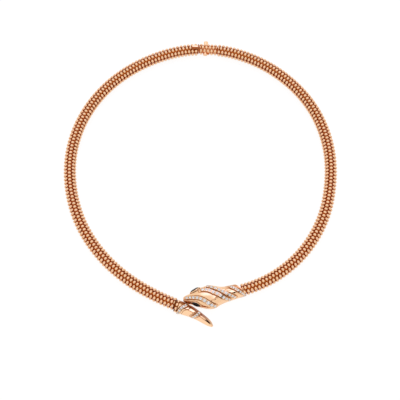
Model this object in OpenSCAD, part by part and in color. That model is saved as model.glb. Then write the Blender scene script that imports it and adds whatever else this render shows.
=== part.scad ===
// Snake necklace: a round rope of gold beads closed in front by a snake's head lying beside its tail,
// with rows of cut stones in raised settings, and a push-button clasp at the back.
// It lies flat, with the middle of the loop over the origin and +Z up. Sizes are in millimetres.

/* [Chain] */
// Outer diameter of the bead rope
chain_d = 6.4; // [6:0.1:6.6]
// Gap between the rope's ends and the metal that they meet
end_gap = 0.15; // [0.1:0.05:0.3]

/* [Head] */
// Height of the head's widest level above the surface
head_mid = 2.6; // [2.4:0.1:2.8]
// Wall of the rim that the rope starts from
rim_wall = 0.45; // [0.3:0.05:0.6]
// Depth of the hollow inside that rim
rim_deep = 0.6; // [0.4:0.1:1]

/* [Settings and stones] */
// Width of each rail beside a row of stones
rail_w = 0.2; // [0.15:0.05:0.25]
// Thickness of the floor under a row of stones
floor_t = 0.15; // [0.1:0.05:0.2]
// Clearance between stones, settings and the metal under them
clear = 0.06; // [0.05:0.01:0.1]
// Table width as a part of a stone's diameter
table_part = 0.56; // [0.5:0.02:0.64]
// Crown height as a part of the diameter
crown_part = 0.14; // [0.1:0.01:0.18]
// Depth below the girdle as a part of the diameter
pavilion_part = 0.24; // [0.2:0.01:0.3]
// Length of each eye
eye_len = 4.3; // [4:0.1:4.5]
// Width of each eye
eye_w = 1.8; // [1.6:0.1:2]
// Height of each eye from its foot to its flat top
eye_h = 0.65; // [0.5:0.05:0.8]

/* [Clasp] */
// Length of the clasp's case
case_len = 9.7; // [9:0.1:10.5]
// Outer diameter of the case
case_d = 5.8; // [5.5:0.1:6]
// Diameter of the push buttons
button_d = 2.3; // [2:0.1:2.4]
// How far the outer button stands proud
outer_proud = 1.55; // [1.3:0.05:1.8]
// How far the inner button stands proud
inner_proud = 0.45; // [0.45:0.05:0.7]
// Length of the polished plate on top of the rope beside the case
plate_len = 3.1; // [2.8:0.1:3.4]
// Width of that plate
plate_w = 2.2; // [1.8:0.1:2.4]
// Height of the plate's crown
plate_h = 0.7; // [0.5:0.1:1]

/* [Joining pin] */
// Diameter of the pin between the head's jaw and the tail's collar
pin_d = 1.1; // [0.9:0.1:1.2]

/* [Hidden] */
chain_z = chain_d / 2;
bore_sides = 48;

// Middle line of the rope: angle around the loop, distance from its middle
LOOP = [
    [-80, 68.05], [-60, 68.5], [-45, 68.25], [-25, 67.1], [-8, 66.05], [10, 66.25], [30, 66.9], [50, 67.3],
    [68, 67.8], [80, 68.05], [95, 67.75], [115, 66.65], [140, 66.15], [165, 65.85], [190, 65.75], [210, 66.6],
    [225, 67.6], [240, 69.2], [252, 71.15], [261, 73.4]
];
HEAD_END = -72.95;
TAIL_END = 260.8;
CLASP_TURN = 86.35;
rope_sides = 12;
rope_rings = 38;

// Head: place of each section along X, its middle in Y, half width, slant, top, underside
HEAD = [
    [-8.1, -69.65, 0.85, 0, 3.7, 1.3],
    [-7.4, -69.65, 1.5, 0, 4.3, 0.7],
    [-6, -69.6, 2.15, 0, 4.9, 0.2],
    [-4, -69.3, 2.8, 0, 5.4, 0],
    [-2, -68.9, 3.9, 0, 5.9, 0],
    [0, -68.7, 4.8, 0, 6.3, 0],
    [2.5, -68.6, 5.45, 0, 6.6, 0],
    [4.5, -68.5, 5.85, -0.05, 6.7, 0],
    [6.5, -68.3, 5.6, -0.15, 6.7, 0],
    [8.5, -67.6, 4.65, -0.3, 6.6, 0],
    [10.5, -67.2, 3.95, -0.45, 6.45, 0],
    [12.5, -66.75, 3.35, -0.75, 6.3, 0],
    [15, -66.1, 2.8, -1.2, 6.15, 0],
    [17.3, -65.5, 2.6, -1.4, 6.1, 0],
    [19.6, -64.9, 2.65, -1.1, 6.1, 0]
];
head_sides = 24;
head_step = 0.9;

// Tail: place of each section along X, its middle in Y, half width, top, share of flat facets
TAIL = [
    [-11.8, -72.85, 3.0, 6.0, 0],
    [-8.9, -73.95, 3.0, 5.9, 0.1],
    [-5.4, -75.15, 2.8, 5.5, 1],
    [-3.3, -76.15, 2.55, 5.0, 1],
    [-0.8, -77.6, 2.2, 4.3, 1],
    [2.8, -80.0, 1.75, 3.1, 1],
    [4.6, -81.35, 1.35, 2.3, 1],
    [6.1, -82.6, 0.45, 1.2, 1]
];
// Corners of the faceted section: turn around it, across, up
FACET = [
    [-60, -0.85, -1], [-15, -1, -0.4], [65, -0.45, 0.85], [105, 0.2, 1], [195, 1, -0.3], [240, 0.8, -1],
    [300, -0.85, -1]
];
tail_turns = [-60, -38, -15, 5, 25, 45, 65, 85, 105, 125, 147, 170, 195, 217, 240, 262, 284];
tail_step = 0.9;

// Rows of stones: step along the row, place along X, turn around the body, stone diameter.
// Whole steps from 0 carry a stone, and the first and last rows of a table are the setting's ends.
tail_lift = 0.16;
SNOUT_ROW = [
    [-0.8, -7.2, 90, 1.1], [0, -6.25, 88, 1.1], [2, -3.05, 79, 1.2], [4, 0.45, 70, 1.4],
    [6, 3.9, 49.5, 1.75], [8, 6.35, 26, 1.3], [8.8, 6.9, 18, 1.2]
];
BROW_ROW = [
    [-0.8, -0.1, 121, 1.2], [0, 1.2, 119.5, 1.25], [2, 4.7, 109, 1.35], [4, 8.1, 86, 1.35],
    [6, 10.3, 54.5, 1.3], [8, 11.95, 25, 1.05], [8.7, 12.25, 17, 1.05]
];
NAPE_ROW = [
    [-0.8, 2.85, 144, 1.15], [0, 3.85, 138, 1.15], [2, 8, 119, 1.3], [4, 10.9, 92, 1.3],
    [6, 12.85, 61.5, 1.3], [8, 14.05, 31.5, 1.05], [8.7, 14.3, 22, 1.05]
];
COLLAR_ROW = [
    [-2, 15.9, 142, 1], [0, 16.6, 113, 1], [2, 17.25, 90, 1], [4, 17.65, 59, 1], [6, 18.35, 27, 1],
    [7, 18.6, 12, 1]
];
TAIL_COLLAR_ROW = [
    [-1, -9.75, -5, 1.1], [0, -9.5, 19, 1.1], [2, -8.65, 72, 1.1], [4, -7.1, 104, 0.95],
    [4.8, -6.5, 118, 0.95]
];
TAIL_BAND_ROW = [
    [-0.9, -2.6, 2, 1], [0, -2.15, 26, 1], [1.5, -1.3, 70, 1], [3, -0.85, 103, 1], [3.8, -0.6, 120, 1]
];
row_stones = 9;
collar_stones = 7;
tail_collar_stones = 5;
tail_band_stones = 4;

// Eyes: place along X and turn of the front end, then of the back end
OUTER_EYE = [[-3.8, 34], [0.1, 22]];
INNER_EYE = [[-4.2, 157], [-0.7, 149]];
eye_sides = 16;
eye_foot_part = 0.45;
eye_table_part = 0.62;
eye_seat = 0.3;
eye_rim_low = 0.13;
eye_rim_wall = 0.16;

// Ends of the joining pin's middle line
PIN_FROM = [-5.2, -70.6, 2];
PIN_TO = [-6.4, -73.4, 2];

// Clasp: the slot for the tongue, the tongue, its shoulder, the buttons' feet and the plate
case_wall = 0.75;
case_sides = 64;
slot_w = case_d - 2 * case_wall - 0.4;
slot_h = 2.3;
slot_end = 2.4;
tongue_w = 1;
tongue_h = 2;
tongue_short = 0.4;
shoulder_len = 0.5;
shoulder_d = case_d - 0.6;
button_x = -1.4;
foot_t = 0.35;
foot_l = button_d + 0.8;
foot_h = 1.7;
plate_r = (pow(plate_w / 2, 2) + pow(plate_h, 2)) / (2 * plate_h);
plate_y = -0.5;
plate_gap = 0.15;

// Smooth curve through the rows of a table: column c at x, where column 0 holds the places
function slope_at(t, i, c) = let(a = max(i - 1, 0), b = min(i + 1, len(t) - 1))
    (t[b][c] - t[a][c]) / (t[b][0] - t[a][0]);
function row_of(t, x, i = 0) = i >= len(t) - 2 || x < t[i + 1][0] ? i : row_of(t, x, i + 1);
function curve(t, x, c) = let(i = row_of(t, x), h = t[i + 1][0] - t[i][0], u = (x - t[i][0]) / h)
    (2 * pow(u, 3) - 3 * pow(u, 2) + 1) * t[i][c] + (pow(u, 3) - 2 * pow(u, 2) + u) * slope_at(t, i, c) * h
    + (3 * pow(u, 2) - 2 * pow(u, 3)) * t[i + 1][c] + (pow(u, 3) - pow(u, 2)) * slope_at(t, i + 1, c) * h;
function straight(t, x, c) = let(i = row_of(t, x))
    t[i][c] + (t[i + 1][c] - t[i][c]) * (x - t[i][0]) / (t[i + 1][0] - t[i][0]);
function unit(v) = v / norm(v);
function away(n, v) = n * v < 0 ? -n : n;
function slope(t, x, c) = (curve(t, x + 0.1, c) - curve(t, x - 0.1, c)) / 0.2;

// Middle line of the rope and its direction; a ring of its skin lies in the plane square to "face"
function loop_pt(a) = let(r = curve(LOOP, a, 1)) [r * cos(a), r * sin(a), chain_z];
function loop_dir(a) = unit(loop_pt(a + 0.2) - loop_pt(a - 0.2));
function rope_ring(a, face) = let(t = loop_dir(a), out = [t[1], -t[0], 0], r = chain_d / 2)
    [for (j = [0:rope_sides - 1]) let(b = 360 * j / rope_sides)
        loop_pt(a) + r * cos(b) * (out - (out * face) / (t * face) * t) + [0, 0, r * sin(b)]];

// Skin of the head at place s along X and turn b: 0 outer side, 90 top, 180 inner side
function head_pt(s, b, inset = 0) =
    let(y = curve(HEAD, s, 1), w = curve(HEAD, s, 2) - inset, k = curve(HEAD, s, 3),
        top = curve(HEAD, s, 4) - inset, foot = max(curve(HEAD, s, 5), 0) + inset, v = -w * cos(b),
        z = sin(b) >= 0 ? head_mid + (top - head_mid) * sin(b)
            : head_mid - (head_mid - foot) * sqrt(-sin(b)))
    [s + k * v, y + v, z];
function head_out(s, b) = let(p = head_pt(s, b), d = 0.05)
    away(unit(cross(head_pt(s, b + 1) - head_pt(s, b - 1), head_pt(s + d, b) - head_pt(s - d, b))),
        p - [s, curve(HEAD, s, 1), head_mid]);
function head_ring(s, inset = 0) =
    [for (j = [0:head_sides - 1]) head_pt(s, 360 * j / head_sides, inset)];

// Skin of the tail at place s along X and turn b, round at its collar and faceted towards its tip
function tail_pt(s, b) =
    let(y = curve(TAIL, s, 1), w = curve(TAIL, s, 2), mid = curve(TAIL, s, 3) / 2,
        f = min(max(curve(TAIL, s, 4), 0), 1), side = unit([-slope(TAIL, s, 1), 1, 0]),
        up = sin(b) > 0 ? sin(b) : -sqrt(-sin(b)),
        across = (f - 1) * cos(b) + f * straight(FACET, b, 1), high = (1 - f) * up + f * straight(FACET, b, 2))
    [s, y, mid * (1 + high)] + w * across * side;
function tail_out(s, b) = let(p = tail_pt(s, b), d = 0.1, db = 12)
    away(unit(cross(tail_pt(s, b + db) - tail_pt(s, b - db), tail_pt(s + d, b) - tail_pt(s - d, b))),
        p - [s, curve(TAIL, s, 1), curve(TAIL, s, 3) / 2]);

// Places on either body: its skin, and the direction out of it
function skin(on_tail, s, b) = on_tail ? tail_pt(s, b) : head_pt(s, b);
function outward(on_tail, s, b) = on_tail ? tail_out(s, b) : head_out(s, b);
function row_pt(row, t, on_tail) = skin(on_tail, curve(row, t, 1), curve(row, t, 2));
function row_near(row, t, reach) = [max(t - reach, row[0][0]), min(t + reach, row[len(row) - 1][0])];
function row_out(row, t, on_tail) = let(near = concat(row_near(row, t, 0.8), row_near(row, t, 0.4)),
    outs = [for (n = near) outward(on_tail, curve(row, n, 1), curve(row, n, 2))])
    unit(outs[0] + outs[1] + outs[2] + outs[3]);
function row_dir(row, t, on_tail) = let(near = row_near(row, t, 0.5))
    unit(row_pt(row, near[1], on_tail) - row_pt(row, near[0], on_tail));
function setting_lift(on_tail) = clear + (on_tail ? tail_lift : 0);
function girdle_lift(d, on_tail) = setting_lift(on_tail) + floor_t + clear + pavilion_part * d;

// Solid through a list of rings with the same number of points, closed by flat ends.
// An end that isn't convex is given as the convex faces that make it up.
module loft(rings, ends = []) {
    n = len(rings[0]);
    m = len(rings);
    caps = len(ends) > 0 ? ends : [[for (j = [0:n - 1]) j]];
    polyhedron(
        points = [for (ring = rings) for (p = ring) p],
        faces = concat(
            caps, [for (cap = caps) [for (j = [len(cap) - 1:-1:0]) (m - 1) * n + cap[j]]],
            [for (i = [0:m - 2]) for (j = [0:n - 1]) let(k = (j + 1) % n)
                each [[i * n + j, (i + 1) * n + k, i * n + k], [i * n + j, (i + 1) * n + j, (i + 1) * n + k]]]));
}

// Cut stone with an octagonal table, eight crown facets and a pointed underside
module stone(middle, along, out, d) {
    side = cross(out, along);
    ring = [for (r = [table_part * d / 2, d / 2]) for (j = [0:7]) r * [cos(45 * j), sin(45 * j)]];
    points = concat(
        [for (j = [0:7]) middle + ring[j][0] * along + ring[j][1] * side + crown_part * d * out],
        [for (j = [8:15]) middle + ring[j][0] * along + ring[j][1] * side],
        [middle - pavilion_part * d * out]);
    polyhedron(points = points, faces = concat(
        [[7, 6, 5, 4, 3, 2, 1, 0]],
        [for (j = [0:7]) let(k = (j + 1) % 8) [j, k, k + 8, j + 8]],
        [for (j = [0:7]) let(k = (j + 1) % 8) [j + 8, k + 8, 16]]));
}
module row_stone(row, t, on_tail = false) {
    d = curve(row, t, 3);
    out = row_out(row, t, on_tail);
    along = unit(row_dir(row, t, on_tail) - (row_dir(row, t, on_tail) * out) * out);
    color("gainsboro") stone(row_pt(row, t, on_tail) + girdle_lift(d, on_tail) * out, along, out, d);
}
module row_of_stones(row, count, on_tail) {
    for (t = [0:count - 1]) row_stone(row, t, on_tail);
}

// Setting of one row: a shallow trough with a rail on either side, bent along the body
module setting(row, on_tail = false) {
    first = row[0][0];
    last = row[len(row) - 1][0];
    steps = round((last - first) * 2.5);
    color("peru") loft([for (i = [0:steps])
        let(t = first + (last - first) * i / steps, p = row_pt(row, t, on_tail), out = row_out(row, t, on_tail),
            dir = row_dir(row, t, on_tail), side = unit(cross(out, dir)), d = curve(row, t, 3),
            half = d / 2 + clear + rail_w, low = setting_lift(on_tail), bed = low + floor_t,
            high = girdle_lift(d, on_tail) + clear)
        [for (q = [[-half, low], [half, low], [half, high], [half - rail_w, high], [half - rail_w, bed],
            [rail_w - half, bed], [rail_w - half, high], [-half, high]]) p + q[0] * side + q[1] * out]],
        [[0, 1, 4, 5], [1, 2, 3, 4], [0, 5, 6, 7]]);
}

// Outline of an eye, pointed at both ends, and its place on the head
function eye_edge(scale, lift) = [for (j = [0:eye_sides - 1]) let(a = 360 * j / eye_sides)
    [scale * eye_len / 2 * cos(a), scale * eye_w / 2 * sin(a) * abs(sin(a)), lift]];
function eye_frame(ends) =
    let(front = head_pt(ends[0][0], ends[0][1]), back = head_pt(ends[1][0], ends[1][1]),
        s = (ends[0][0] + ends[1][0]) / 2, b = (ends[0][1] + ends[1][1]) / 2, along = unit(back - front),
        out = unit(head_out(s, b) - (head_out(s, b) * along) * along))
    [head_pt(s, b), along, cross(out, along), out];
function eye_place(f, q) = f[0] + q[0] * f[1] + q[1] * f[2] + q[2] * f[3];
module eye(ends) {
    f = eye_frame(ends);
    girdle = eye_seat + 0.45 * eye_h;
    rings = [eye_edge(eye_foot_part, eye_seat), eye_edge(1, girdle), eye_edge(eye_table_part, eye_seat + eye_h)];
    color("black") loft([for (ring = rings) [for (q = ring) eye_place(f, q)]]);
}
module eye_rim(ends) {
    f = eye_frame(ends);
    grow = 1 + 2 * clear / eye_w + 0.04;
    wide = grow + 2 * eye_rim_wall / eye_w;
    high = eye_seat + eye_h / 2;
    edges = [eye_edge(grow, eye_rim_low), eye_edge(wide, eye_rim_low), eye_edge(wide, high), eye_edge(grow, high)];
    points = [for (j = [0:eye_sides - 1]) for (edge = edges) eye_place(f, edge[j])];
    color("peru") polyhedron(points = points, faces = [for (j = [0:eye_sides - 1]) for (k = [0:3])
        let(h = (j + 1) % eye_sides, a = 4 * j + k, b = 4 * j + (k + 1) % 4, c = 4 * h + k, e = 4 * h + (k + 1) % 4)
        each [[a, b, e], [a, e, c]]]);
}

// Rope from the head round to the clasp, and from the clasp round to the tail
module rope(from, to, from_face, to_face) {
    color("sandybrown") loft([for (i = [0:rope_rings - 1]) let(a = from + (to - from) * i / (rope_rings - 1))
        rope_ring(a, i == 0 ? from_face : i == rope_rings - 1 ? to_face : loop_dir(a))]);
}
mm_turn = 180 / (PI * curve(LOOP, CLASP_TURN, 1));
case_face = [sin(CLASP_TURN), -cos(CLASP_TURN), 0];
rim_face = [1, -HEAD[len(HEAD) - 1][3], 0];
tail_face = [1, slope(TAIL, TAIL[0][0] + 0.1, 1), 0];
module chain_right() {
    rope(HEAD_END + end_gap * mm_turn, CLASP_TURN - (case_len / 2 + end_gap) * mm_turn, rim_face, case_face);
}
module chain_left() {
    rope(CLASP_TURN + (case_len / 2 + shoulder_len + 2 * end_gap) * mm_turn, TAIL_END - end_gap * mm_turn,
        case_face, tail_face);
}

// Pin that joins the head's jaw to the tail's collar, and its bore in both
module along_pin(d, extra) {
    v = PIN_TO - PIN_FROM;
    translate(PIN_FROM - extra * unit(v))
        rotate([0, 90, atan2(v[1], v[0])]) cylinder(d = d, h = norm(v) + 2 * extra, $fn = bore_sides);
}
module joining_pin() { color("peru") along_pin(pin_d, 0); }

module head_body() {
    first = HEAD[0][0];
    last = HEAD[len(HEAD) - 1][0];
    steps = round((last - first) / head_step);
    color("burlywood") difference() {
        loft(concat([for (i = [0:steps]) head_ring(first + (last - first) * i / steps)],
            [head_ring(last, rim_wall), head_ring(last - rim_deep, rim_wall)]));
        along_pin(pin_d + 2 * clear, clear);
    }
}
module tail_body() {
    first = TAIL[0][0];
    last = TAIL[len(TAIL) - 1][0];
    steps = round((last - first) / tail_step);
    color("burlywood") difference() {
        loft([for (i = [0:steps]) [for (b = tail_turns) tail_pt(first + (last - first) * i / steps, b)]]);
        along_pin(pin_d + 2 * clear, clear);
    }
}

// The clasp's own frame: X along the rope, Y outward, Z up, from the middle of its case
module at_clasp() { translate(loop_pt(CLASP_TURN)) rotate([0, 0, CLASP_TURN - 90]) children(); }
module along_x(x0, x1, d, sides) {
    translate([x0, 0, 0]) rotate([0, 90, 0]) cylinder(d = d, h = x1 - x0, $fn = sides);
}
module along_y(x, d, y0, y1) {
    translate([x, y0, 0]) rotate([-90, 0, 0]) cylinder(d = d, h = y1 - y0, $fn = bore_sides);
}
module clasp_case() {
    color("sandybrown") at_clasp() difference() {
        along_x(-case_len / 2, case_len / 2, case_d, case_sides);
        translate([-case_len, -slot_w / 2, -slot_h / 2]) cube([case_len + slot_end, slot_w, slot_h]);
        along_y(button_x, button_d + 2 * clear, -case_d, case_d);
    }
}
module clasp_tongue() {
    x0 = -case_len / 2 - end_gap - shoulder_len;
    x1 = slot_end - tongue_short;
    color("peru") at_clasp() union() {
        along_x(x0, x0 + shoulder_len, shoulder_d, case_sides);
        translate([x0 + shoulder_len / 2, -tongue_w / 2, -tongue_h / 2])
            cube([x1 - x0 - shoulder_len / 2, tongue_w, tongue_h]);
    }
}
module clasp_plate() {
    x0 = -case_len / 2 - shoulder_len - plate_len;
    color("wheat") at_clasp() translate([0, plate_y, chain_d / 2 + plate_gap]) difference() {
        translate([0, 0, plate_h - plate_r]) along_x(x0, x0 + plate_len, 2 * plate_r, bore_sides);
        translate([x0 - 1, -2 * plate_r, -3 * plate_r]) cube([plate_len + 2, 4 * plate_r, 3 * plate_r]);
    }
}

// A push button: its cap, and the wider foot that keeps it in the case
module button(proud) {
    reach = slot_w / 2 - clear;
    along_y(button_x, button_d, reach - foot_t / 2, case_d / 2 + proud);
    translate([button_x - foot_l / 2, reach - foot_t, -foot_h / 2]) cube([foot_l, foot_t, foot_h]);
}
module button_outer() { color("wheat") at_clasp() button(outer_proud); }
module button_inner() { color("wheat") at_clasp() mirror([0, 1, 0]) button(inner_proud); }

chain_right();
chain_left();
head_body();
tail_body();
joining_pin();
setting(SNOUT_ROW);  // setting_snout
setting(BROW_ROW);  // setting_brow
setting(NAPE_ROW);  // setting_nape
setting(COLLAR_ROW);  // setting_collar
setting(TAIL_COLLAR_ROW, true);  // setting_tail_collar
setting(TAIL_BAND_ROW, true);  // setting_tail_band
for (i = [1:row_stones]) {
    row_stone(SNOUT_ROW, i - 1);
    row_stone(BROW_ROW, i - 1);
    row_stone(NAPE_ROW, i - 1);
}
row_of_stones(COLLAR_ROW, collar_stones, false);  // stones_collar
row_of_stones(TAIL_COLLAR_ROW, tail_collar_stones, true);  // stones_tail_collar
row_of_stones(TAIL_BAND_ROW, tail_band_stones, true);  // stones_tail_band
eye(OUTER_EYE);  // eye_outer
eye(INNER_EYE);  // eye_inner
eye_rim(OUTER_EYE);  // eye_rim_outer
eye_rim(INNER_EYE);  // eye_rim_inner
clasp_case();
clasp_tongue();
clasp_plate();
button_outer();
button_inner();
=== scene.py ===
import math
import bmesh
import bpy
import numpy as np
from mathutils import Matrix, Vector


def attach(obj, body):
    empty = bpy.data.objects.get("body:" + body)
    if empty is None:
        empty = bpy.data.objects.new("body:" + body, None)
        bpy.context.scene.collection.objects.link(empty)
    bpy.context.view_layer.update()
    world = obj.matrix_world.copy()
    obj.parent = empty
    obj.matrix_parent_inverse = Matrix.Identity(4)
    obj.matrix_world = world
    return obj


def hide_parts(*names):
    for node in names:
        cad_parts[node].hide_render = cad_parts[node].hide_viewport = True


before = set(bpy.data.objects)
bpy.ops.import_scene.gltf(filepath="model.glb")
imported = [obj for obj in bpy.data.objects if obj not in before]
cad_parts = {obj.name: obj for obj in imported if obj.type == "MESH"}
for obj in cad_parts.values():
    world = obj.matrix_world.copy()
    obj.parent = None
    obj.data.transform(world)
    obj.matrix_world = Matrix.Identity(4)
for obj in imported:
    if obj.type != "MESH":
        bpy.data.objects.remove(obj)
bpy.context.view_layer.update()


# The necklace lies on white card with a thin, slightly uneven coat. The card is wide enough to fill
# the view from every side, and its own glow keeps it an even white.
class Wire:
    """One socket of a material. A sum on it adds Math nodes, and node() adds any other node."""

    def __init__(self, tree, socket=None):
        self.tree = tree
        self.socket = socket

    def node(self, kind, settings=(), inputs=(), out=0):
        made = self.tree.nodes.new("ShaderNode" + kind)
        for name, value in dict(settings).items():
            setattr(made, name, value)
        for name, value in dict(inputs).items():
            if isinstance(value, Wire):
                self.tree.links.new(value.socket, made.inputs[name])
            else:
                made.inputs[name].default_value = value
        return Wire(self.tree, made.outputs[out])

    def math(self, operation, first, second):
        return self.node("Math", {"operation": operation}, {0: first, 1: second})

    def __add__(self, other):
        return self.math("ADD", self, other)

    def __radd__(self, other):
        return self.math("ADD", other, self)

    def __sub__(self, other):
        return self.math("SUBTRACT", self, other)

    def __rsub__(self, other):
        return self.math("SUBTRACT", other, self)

    def __mul__(self, other):
        return self.math("MULTIPLY", self, other)

    def __rmul__(self, other):
        return self.math("MULTIPLY", other, self)

    def ramp(self, low, high, to_low=0.0, to_high=1.0):
        """The value, eased from to_low at low to to_high at high."""
        settings = {"interpolation_type": "SMOOTHSTEP"}
        inputs = {0: self, 1: low, 2: high, 3: to_low, 4: to_high}
        return self.node("MapRange", settings, inputs)

    def mix(self, none, full):
        """A colour between two colours, by this value."""
        none, full = [c if isinstance(c, Wire) else (*c, 1) for c in (none, full)]
        return self.node("Mix", {"data_type": "RGBA"}, {0: self, 6: none, 7: full}, out=2)

    def noise(self, place, scale, detail=2.0):
        return self.node("TexNoise", (), {"Vector": place, "Scale": scale, "Detail": detail})

    def bump(self, strength, distance):
        """The slope of a surface that this value raises, by distance in metres."""
        return self.node("Bump", (), {"Strength": strength, "Distance": distance, "Height": self})


def finish_for(name, changing, fixed):
    """A material: changing sockets are worked out from the place, fixed ones are numbers."""
    made = bpy.data.materials.new(name)
    made.use_nodes = True
    shader = made.node_tree.nodes["Principled BSDF"]
    start = Wire(made.node_tree)
    place = start.node("TexCoord", out="Object")
    for socket, value in changing(start, place).items():
        made.node_tree.links.new(value.socket, shader.inputs[socket])
    for socket, value in fixed.items():
        shader.inputs[socket].default_value = value
    return made


def card_coat(start, place):
    grain = start.noise(place, 900.0)
    cloud = start.noise(place, 6.0)
    return {"Base Color": cloud.mix((0.1, 0.1, 0.1), (0.13, 0.13, 0.13)),
            "Roughness": cloud.ramp(0.3, 0.7, 0.75, 0.85), "Normal": grain.bump(0.15, 0.0001)}


def flat_sheet(name, middle, half_across, half_up, finish):
    """A flat sheet beside the necklace, from its middle and its two half sides."""
    mesh = bpy.data.meshes.new(name)
    corners = [middle + x * half_across + y * half_up for x, y in ((-1, -1), (1, -1), (1, 1), (-1, 1))]
    mesh.from_pydata(corners, [], [(0, 1, 2, 3)])
    mesh.materials.append(finish)
    sheet = bpy.data.objects.new(name, mesh)
    bpy.context.scene.collection.objects.link(sheet)
    return sheet


CARD_HALF, CARD_GLOW = 2.5, 0.9
coated_card = finish_for("card_coat", card_coat,
                         {"Emission Color": (1, 1, 1, 1), "Emission Strength": CARD_GLOW})
card = flat_sheet("card", Vector(), Vector((CARD_HALF, 0, 0)), Vector((0, CARD_HALF, 0)), coated_card)

# Light comes from a pale room and two soft boxes. A large one leans over the necklace from behind,
# and a narrow one hangs overhead. Their light is bluish, so that rose gold shows it as cream.
ROOM, ROOM_LIGHT = (1.0, 0.985, 0.96), 1.0
BOX_COLOUR = (0.5, 0.56, 1.0)
room = bpy.data.worlds.new("room")
bpy.context.scene.world = room
room.use_nodes = True
room.node_tree.nodes["Background"].inputs["Color"].default_value = (*ROOM, 1)
room.node_tree.nodes["Background"].inputs["Strength"].default_value = ROOM_LIGHT
bpy.context.scene.view_settings.view_transform = "Standard"


def soft_box(name, place, width, depth, power, tilt, turn):
    light = bpy.data.lights.new(name, "AREA")
    light.color = BOX_COLOUR
    light.shape = "RECTANGLE"
    light.size, light.size_y, light.energy = width, depth, power
    lamp = bpy.data.objects.new(name, light)
    lamp.location = place
    lamp.rotation_euler = (math.radians(tilt), 0, math.radians(turn))
    bpy.context.scene.collection.objects.link(lamp)


soft_box("back_box", (-0.14, 0.76, 1.09), width=0.42, depth=1.2, power=2.2, tilt=-35, turn=0)
soft_box("top_box", (0.25, -0.01, 1.3), width=0.24, depth=0.7, power=0.8, tilt=0, turn=13)

# The camera looks down on the necklace from in front. It stands 0.6 m away with a long lens, which
# takes in a square of about 0.2 m.
LOOK_AT = Vector((0, -0.0177, 0.00275))
LOOK_DOWN = math.radians(67.5)
CAMERA_AWAY = 0.6
LENS_MM, FILM_MM, NEAREST = 108, 36, 0.01
lens = bpy.data.cameras.new("camera")
lens.lens, lens.sensor_width, lens.clip_start = LENS_MM, FILM_MM, NEAREST
camera = bpy.data.objects.new("camera", lens)
away = Vector((0, -math.cos(LOOK_DOWN), math.sin(LOOK_DOWN)))
camera.location = LOOK_AT + CAMERA_AWAY * away
camera.rotation_euler = (-away).to_track_quat("-Z", "Y").to_euler()
bpy.context.scene.collection.objects.link(camera)
bpy.context.scene.camera = camera


# A strip of black cloth hangs beside the camera, so that polished metal has something dark to show.
# It is plain matt cotton, and the camera's own view never reaches it.
def black_cloth(start, place):
    weave = start.noise(place, 1500.0)
    return {"Base Color": weave.mix((0.004, 0.004, 0.004), (0.012, 0.011, 0.01)),
            "Roughness": weave.ramp(0.3, 0.7, 0.85, 1.0)}


CLOTH_FACES = Vector((0.02, -0.07, 0))
CLOTH_AWAY, CLOTH_HALF_W, CLOTH_HALF_H = 0.8, 0.085, 0.16
CLOTH_TURN, CLOTH_RISE = math.radians(140), math.radians(56)
toward = Vector((math.cos(CLOTH_RISE) * math.sin(CLOTH_TURN), math.cos(CLOTH_RISE) * math.cos(CLOTH_TURN),
                 math.sin(CLOTH_RISE)))
across = toward.cross(Vector((0, 0, 1))).normalized()
upward = across.cross(toward).normalized()
cloth = flat_sheet("cloth", CLOTH_FACES + CLOTH_AWAY * toward, CLOTH_HALF_W * across,
                   CLOTH_HALF_H * upward, finish_for("black_cloth", black_cloth, {}))


# The rope is two lengths of cast rose gold knobs. Each knob is a ball on a short stem, and eight
# rows of them stand round a ribbed core. Knobs are polished; painted shade darkens each knob
# towards its stem and fills the core between them.
MM = 0.001
LOOP = [
    [-80, 68.05], [-60, 68.5], [-45, 68.25], [-25, 67.1], [-8, 66.05], [10, 66.25], [30, 66.9],
    [50, 67.3], [68, 67.8], [80, 68.05], [95, 67.75], [115, 66.65], [140, 66.15], [165, 65.85],
    [190, 65.75], [210, 66.6], [225, 67.6], [240, 69.2], [252, 71.15], [261, 73.4]
]
HEAD_END, TAIL_END, CLASP_TURN = -72.95, 260.8, 86.35
END_GAP, CASE_LEN, SHOULDER_LEN = 0.15, 9.7, 0.5
ROPE_R, CORE_R, RIB_H, RINGS_A_RIB = 3.2, 1.62, 0.12, 6
CORE_PAST_END = 0.8 * END_GAP
KNOB, KNOB_PITCH, KNOB_MARGIN = (0.86, 0.8, 0.9), 1.88, 0.05
SHORT_KNOB = 0.55
STEM_R, STEM_FROM = 0.55, 1.2
KNOB_DARK_TO, KNOB_TIP_BRIGHT = 1.9, 0.15
ROW_STAGGER = (0, 0.5, 0.5, 0.5, 0, 0.5, 0.5, 0.5)
UP = np.array([0, 0, 1.0])


def smooth(table, x, column):
    """The column's value at x on a smooth curve through the rows of a table."""
    t = np.array(table, float)
    before, after = np.maximum(np.arange(len(t)) - 1, 0), np.minimum(np.arange(len(t)) + 1, len(t) - 1)
    slopes = (t[after, column] - t[before, column]) / (t[after, 0] - t[before, 0])
    i = np.clip(np.searchsorted(t[:, 0], x, side="right") - 1, 0, len(t) - 2)
    h = t[i + 1, 0] - t[i, 0]
    u = (x - t[i, 0]) / h
    return ((2 * u**3 - 3 * u**2 + 1) * t[i, column] + (u**3 - 2 * u**2 + u) * slopes[i] * h
            + (3 * u**2 - 2 * u**3) * t[i + 1, column] + (u**3 - u**2) * slopes[i + 1] * h)


def unit(v):
    return v / np.linalg.norm(v, axis=-1, keepdims=True)


def full_circle(count):
    """Turns in radians that go once round, in count equal steps."""
    return 2 * np.pi * np.arange(count) / count


def loop_at(turn):
    """A point of the necklace's middle line, at a turn round the loop in degrees."""
    r = smooth(LOOP, turn, 1)
    return np.stack([r * np.cos(np.radians(turn)), r * np.sin(np.radians(turn)), ROPE_R + 0 * r], -1)


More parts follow.
